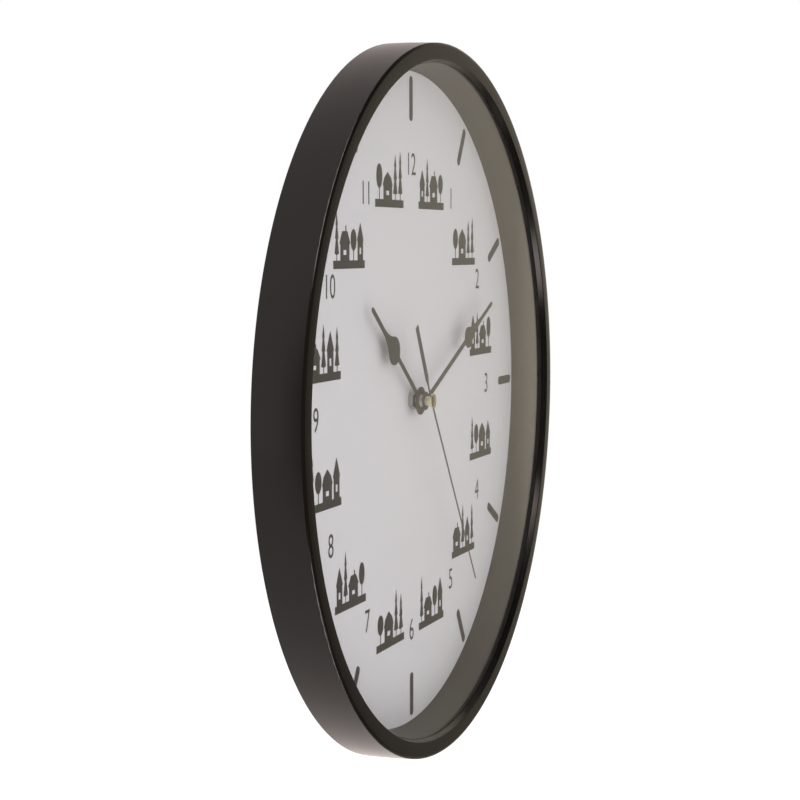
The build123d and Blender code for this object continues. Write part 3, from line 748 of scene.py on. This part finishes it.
class CLOCK_OT_cell(Operator):
    """Form the dry cell: sleeve, crimped ends, nub and polarity signs"""

    bl_idname = "clock.cell"
    bl_label = "Dry cell"

    def execute(self, context):
        sizes = context.scene.clock_fittings
        low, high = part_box("battery")
        radius = (high.z - low.z) / 2
        length = high.x - low.x - sizes.cell_nub_length
        step, groove, land = 0.0003, 0.0004, 0.10 * radius
        nub_edge, sleeve_edge = 0.0005, 0.0004
        sign_lift = 0.00004
        band = 0.74
        cell = drum(72, radius, 0, length)
        edit(cell)
        for up in (1, -1):
            choose(cell, "FACE", lambda f: f.normal.z * up > facing)
            bpy.ops.mesh.inset(thickness=sizes.cell_crimp)
            bpy.ops.mesh.inset(thickness=step, depth=-groove)
            bpy.ops.mesh.inset(thickness=land)
            bpy.ops.mesh.inset(thickness=step, depth=groove)
        choose(cell, "FACE", lambda f: f.normal.z > facing and f.calc_center_median().xy.length < close)
        bpy.ops.mesh.inset(thickness=radius - land - sizes.cell_crimp - 2 * step - sizes.cell_nub)
        bpy.ops.mesh.extrude_region_move(TRANSFORM_OT_translate={"value": (0, 0, sizes.cell_nub_length)})
        choose(cell, "EDGE", lambda e: all(v.co.z > length + sizes.cell_nub_length - tiny for v in e.verts))
        bpy.ops.mesh.bevel(offset=nub_edge, segments=3)
        choose(cell, "EDGE", lambda e: all(abs(v.co.xy.length - radius) < tiny for v in e.verts)
               and abs(e.verts[0].co.z - e.verts[1].co.z) < tiny)
        bpy.ops.mesh.bevel(offset=sleeve_edge, segments=3)
        choose(cell, "FACE", lambda f: max(v.co.xy.length for v in f.verts) < radius - sizes.cell_crimp - close)
        bpy.ops.mesh.separate(type="SELECTED")
        done_editing()
        ends = next(piece for piece in bpy.context.selected_objects if piece is not cell)
        signs = self.signs(sizes.sign_size, radius, length)
        applied(signs, "SHRINKWRAP", target=cell, wrap_method="NEAREST_SURFACEPOINT", offset=sign_lift)
        for piece in (cell, ends, signs):
            smooth(piece, 40)
            piece.rotation_euler = (0, math.radians(90), 0)
            piece.location = (low.x, (low.y + high.y) / 2, (low.z + high.z) / 2)
            settle(piece)
        finished(cell, "cell_sleeve", self.sleeve(low.x + band * length), "case", "battery_jacket", "battery")
        steel = finish("cell_steel", (0.62, 0.62, 0.61), roughness=0.26, metallic=1.0)
        finished(ends, "cell_ends", steel, "case", "contact_metal")
        ink = finish("sign_ink", (0.03, 0.03, 0.03), roughness=0.5)
        finished(signs, "cell_signs", ink, "case", "battery_jacket")
        return {"FINISHED"}

    def signs(self, size, radius, length):
        """A plus and a minus, drawn on the side of the cell that faces the rear."""
        plus_place, minus_place = 0.86, 0.12
        stroke = 0.24 * size
        bars = []
        for along, turn in ((plus_place, 0), (plus_place, 90), (minus_place, 0)):
            deselect()
            bpy.ops.mesh.primitive_grid_add(x_subdivisions=8, y_subdivisions=2, size=1, location=(0, 0, 0))
            bar = bpy.context.active_object
            bar.scale = (size, stroke, 1)
            settle(bar)
            bar.rotation_euler.z = math.radians(turn)
            settle(bar)
            bar.rotation_euler = (math.radians(-90), 0, 0)
            bar.location = (0, radius, along * length)
            settle(bar)
            bars.append(bar)
        return joined(bars, "cell_signs")

    def sleeve(self, band):
        """Glossy grey film with a pale band towards the positive end."""
        material = finish("cell_sleeve", (0.16, 0.18, 0.20), roughness=0.24, grain=0.0004, depth=0.000002)
        base = material.node_tree.nodes["Principled BSDF"].inputs["Base Color"]
        two = node(material, "ShaderNodeMix", data_type="RGBA", B=(0.62, 0.62, 0.60, 1))
        link(material, maths(material, "GREATER_THAN", axes(material)["X"], band), two.inputs["Factor"])
        link(material, base.links[0].from_socket, two.inputs["A"])
        link(material, two.outputs["Result"], base)
        return material


class CLOCK_OT_knob_arrow(Operator):
    """Print the turning arrow on the setting knob"""

    bl_idname = "clock.knob_arrow"
    bl_label = "Knob arrow"

    def execute(self, context):
        low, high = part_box("setting_knob")
        radius = (high.x - low.x) / 2
        track, stroke, start = 0.62 * radius, 0.16 * radius, 0.02 * radius
        tip_radius, tip_inset, tip_lead = 0.26 * radius, 0.05 * radius, 0.14 * radius
        sweep = 250
        deselect()
        bpy.ops.mesh.primitive_plane_add(size=1, location=(track, 0, 0))
        arrow = bpy.context.active_object
        arrow.scale = (stroke, start, 1)
        settle(arrow)
        edit(arrow)
        choose(arrow, "EDGE", lambda e: all(v.co.y > 0 for v in e.verts))
        bpy.ops.mesh.spin(steps=24, angle=math.radians(-sweep), center=(0, 0, 0), axis=(0, 0, 1))
        done_editing()
        deselect()
        bpy.ops.mesh.primitive_circle_add(vertices=3, radius=tip_radius, fill_type="NGON")
        tip = bpy.context.active_object
        settle(tip)
        edit(tip)
        bpy.ops.mesh.select_all(action="SELECT")
        bpy.ops.mesh.inset(thickness=tip_inset)
        done_editing()
        tip.rotation_euler.z = math.radians(180)
        tip.location = (track, -tip_lead, 0)
        settle(tip)
        arrow = joined([arrow, tip], "knob_arrow")
        applied(arrow, "SOLIDIFY", thickness=context.scene.clock_print.thickness, offset=1)
        arrow.rotation_euler = (math.radians(90), 0, math.radians(180))
        arrow.location = ((low.x + high.x) / 2, high.y, (low.z + high.z) / 2)
        settle(arrow)
        ink = finish("arrow_ink", (0.05, 0.05, 0.05), roughness=0.5)
        finished(arrow, "knob_arrow", ink, "setting", "movement_black")
        return {"FINISHED"}


class CLOCK_OT_back(Operator):
    """Finish the rear cover and what shows in its window"""

    bl_idname = "clock.back"
    bl_label = "Back and movement"

    def execute(self, context):
        colours = context.scene.clock_colours
        dress(finish("cover_grain", colours.cover, roughness=0.62, grain=0.0009, depth=0.00006), "rear_cover")
        dress(finish("housing_plastic", (0.03, 0.03, 0.032), roughness=0.48), "movement_case", "movement_lid")
        dress(finish("washer_rubber", (0.03, 0.03, 0.03), roughness=0.8), "rubber_washer")
        dress(finish("contact_nickel", (0.66, 0.65, 0.62), roughness=0.3, metallic=1.0),
              "positive_contact", "negative_contact")
        dress(finish("knob_plastic", (0.80, 0.79, 0.76), roughness=0.42), "setting_knob")
        return {"FINISHED"}


class CLOCK_OT_works(Operator):
    """Finish the motor, the circuit and the wheels inside the movement"""

    bl_idname = "clock.works"
    bl_label = "Works"

    def execute(self, context):
        dress(finish("core_iron", (0.45, 0.45, 0.47), roughness=0.4, metallic=1.0), "stator", "coil_core")
        dress(finish("bobbin_nylon", (0.78, 0.77, 0.72), roughness=0.5), "coil_bobbin")
        dress(finish("coil_copper", (0.75, 0.36, 0.18), roughness=0.3, metallic=1.0), "coil_winding")
        dress(finish("board_lacquer", (0.05, 0.22, 0.09), roughness=0.4), "circuit_board")
        dress(finish("chip_resin", (0.015, 0.015, 0.015), roughness=0.2), "timer_chip")
        dress(finish("crystal_can", (0.72, 0.72, 0.73), roughness=0.25, metallic=1.0), "quartz_crystal")
        dress(finish("wheel_nylon", (0.82, 0.80, 0.70), roughness=0.45),
              "rotor", "intermediate_wheel", "third_wheel", "centre_wheel", "minute_wheel", "hour_wheel")
        dress(finish("arbor_steel", (0.6, 0.6, 0.6), roughness=0.25, metallic=1.0), "seconds_wheel")
        dress(finish("pipe_brass", (0.66, 0.62, 0.44), roughness=0.3, metallic=1.0), "minute_pipe")
        return {"FINISHED"}


class CLOCK_OT_stage(Operator):
    """Set up the camera, the floor, the lamps and the surrounding light"""

    bl_idname = "clock.stage"
    bl_label = "Studio"

    def execute(self, context):
        studio = context.scene.clock_studio
        context.scene.view_settings.view_transform = "Standard"
        self.camera(context, studio)
        self.floor(studio)
        self.card(studio)
        self.lamp("key_lamp", Vector(studio.key_place), studio.key_size, studio.key_power)
        self.lamp("fill_lamp", Vector(studio.fill_place), studio.fill_size, studio.fill_power)
        self.surroundings(context, studio)
        return {"FINISHED"}

    def camera(self, context, studio):
        place = front_centre + Vector(studio.camera_offset)
        aim = front_centre + Vector(studio.camera_aim)
        turn = (aim - place).to_track_quat("-Z", "Y") @ Quaternion((0, 0, 1), studio.camera_roll)
        deselect()
        bpy.ops.object.camera_add(location=place, rotation=turn.to_euler())
        camera = bpy.context.active_object
        camera.name = "photo_camera"
        camera.data.sensor_width = 36.0
        camera.data.lens = studio.focal_length
        context.scene.camera = camera

    def floor(self, studio):
        """A pale floor, white in the picture and as warm as the room in the gloss."""
        deselect()
        bpy.ops.mesh.primitive_circle_add(vertices=64, radius=studio.floor_radius, fill_type="NGON",
                                          location=(0, 0, rim_low.z - studio.floor_drop))
        floor = bpy.context.active_object
        settle(floor)
        floor.name = "floor"
        material = bpy.data.materials.new("pale_floor")
        material.use_nodes = True
        shader = material.node_tree.nodes["Principled BSDF"]
        shader.inputs["Roughness"].default_value = 0.9
        shader.inputs["Specular IOR Level"].default_value = 0.1
        path = node(material, "ShaderNodeLightPath").outputs
        tint = node(material, "ShaderNodeMix", data_type="RGBA", A=(*studio.floor, 1),
                    B=(*[floor_in_gloss * c for c in studio.wall], 1))
        link(material, path["Is Glossy Ray"], tint.inputs["Factor"])
        link(material, tint.outputs["Result"], shader.inputs["Base Color"])
        link(material, tint.outputs["Result"], shader.inputs["Emission Color"])
        glow = maths(material, "MULTIPLY", pictured(material, path), studio.floor_glow)
        link(material, glow, shader.inputs["Emission Strength"])
        floor.data.materials.append(material)

    def card(self, studio):
        """A dark shell round the front, lit at the right and the far left, which only gloss and glass see."""
        foot = rim_low.z - studio.floor_drop + card_gap
        left_end, right_end = card_ends
        deselect()
        bpy.ops.mesh.primitive_cylinder_add(vertices=180, radius=studio.card_radius, depth=studio.card_height,
                                            end_fill_type="NOTHING",
                                            location=(0, 0, foot + studio.card_height / 2))
        card = bpy.context.active_object
        settle(card)
        edit(card)
        choose(card, "FACE", lambda f: not left_end < round_from_front(f.calc_center_median()) < right_end)
        bpy.ops.mesh.delete(type="FACE")
        levels = [v.co.z for v in bmesh.from_edit_mesh(card.data).verts]
        for level in (min(levels), max(levels)):
            choose(card, "EDGE", lambda e: all(abs(v.co.z - level) < close for v in e.verts))
            bpy.ops.mesh.extrude_region_move()
            bpy.ops.transform.resize(value=(card_cap, card_cap, 1), center_override=(0, 0, level))
        done_editing()
        card.name = "reflection_card"
        material = bpy.data.materials.new("card_paper")
        material.use_nodes = True
        nodes = material.node_tree.nodes
        nodes.remove(nodes["Principled BSDF"])
        place = axes(material)
        turned = maths(material, "ARCTAN2", place["X"], maths(material, "MULTIPLY", place["Y"], -1.0))
        papers = ((card_across, card_upward, studio.card), (sheet_across, sheet_upward, studio.wall))
        together = node(material, "ShaderNodeAddShader")
        for k, (across, upward, colour) in enumerate(papers):
            sideways = ramp(material, turned, [(math.radians(angle), level) for angle, level in across])
            strength = maths(material, "MULTIPLY", sideways, ramp(material, place["Z"], upward))
            glow = node(material, "ShaderNodeEmission", Color=(*colour, 1))
            link(material, strength, glow.inputs["Strength"])
            link(material, glow.outputs[0], together.inputs[k])
        link(material, together.outputs[0], nodes["Material Output"].inputs["Surface"])
        card.data.materials.append(material)
        card.visible_camera = False
        card.visible_diffuse = False
        card.visible_shadow = False

    def lamp(self, name, offset, size, power):
        """A round lamp that faces the middle of the front."""
        place = front_centre + offset
        turn = (-offset).to_track_quat("-Z", "Y").to_euler()
        deselect()
        bpy.ops.object.light_add(type="AREA", location=place, rotation=turn)
        lamp = bpy.context.active_object
        lamp.name = name
        lamp.data.shape = "DISK"
        lamp.data.size = size
        lamp.data.energy = power
        lamp.visible_camera = False

    def surroundings(self, context, studio):
        """Even light from all round, white in the picture and a warm room in the gloss."""
        world = bpy.data.worlds.new("white_tent")
        world.use_nodes = True
        world.node_tree.nodes.clear()
        path = node(world, "ShaderNodeLightPath").outputs
        light = node(world, "ShaderNodeBackground", Color=(1, 1, 1, 1), Strength=studio.sky)
        tint = node(world, "ShaderNodeMix", data_type="RGBA", A=(1, 1, 1, 1), B=(*studio.wall, 1))
        link(world, path["Is Glossy Ray"], tint.inputs["Factor"])
        level = node(world, "ShaderNodeMix", A=1.0)
        link(world, path["Is Glossy Ray"], level.inputs["Factor"])
        link(world, ranged(world, axes(world, "Generated")["X"], room_span, room_levels), level.inputs["B"])
        white = node(world, "ShaderNodeBackground")
        link(world, tint.outputs["Result"], white.inputs["Color"])
        link(world, level.outputs["Result"], white.inputs["Strength"])
        mix = node(world, "ShaderNodeMixShader")
        link(world, pictured(world, path), mix.inputs["Fac"])
        link(world, light.outputs[0], mix.inputs[1])
        link(world, white.outputs[0], mix.inputs[2])
        link(world, mix.outputs[0], node(world, "ShaderNodeOutputWorld").inputs["Surface"])
        context.scene.world = world


steps = (CLOCK_OT_case, CLOCK_OT_hour_bars, CLOCK_OT_numerals, CLOCK_OT_cottages, CLOCK_OT_hands,
         CLOCK_OT_nut, CLOCK_OT_screws, CLOCK_OT_cell, CLOCK_OT_knob_arrow, CLOCK_OT_back, CLOCK_OT_works,
         CLOCK_OT_stage)
groups = {"clock_colours": ClockColours, "clock_print": ClockPrint, "clock_fittings": ClockFittings,
          "clock_studio": ClockStudio}


class CLOCK_PT_sidebar(Panel):
    """Lists the clock's pieces and sizes"""

    bl_idname = "CLOCK_PT_sidebar"
    bl_label = "Wall Clock"
    bl_space_type = "VIEW_3D"
    bl_region_type = "UI"
    bl_category = "Wall Clock"

    def draw(self, context):
        for name, group in groups.items():
            column = self.layout.column(align=True)
            for prop in group.__annotations__:
                column.prop(getattr(context.scene, name), prop)
        for step in steps:
            self.layout.operator(step.bl_idname)


def register():
    for group in groups.values():
        bpy.utils.register_class(group)
    for name, group in groups.items():
        setattr(bpy.types.Scene, name, PointerProperty(type=group))
    for step in (*steps, CLOCK_PT_sidebar):
        bpy.utils.register_class(step)


def unregister():
    for step in reversed((*steps, CLOCK_PT_sidebar)):
        bpy.utils.unregister_class(step)
    for name in groups:
        delattr(bpy.types.Scene, name)
    for group in reversed(list(groups.values())):
        bpy.utils.unregister_class(group)


def main():
    register()
    for step in steps:
        family, name = step.bl_idname.split(".")
        getattr(getattr(bpy.ops, family), name)()


if __name__ == "__main__":
    main()
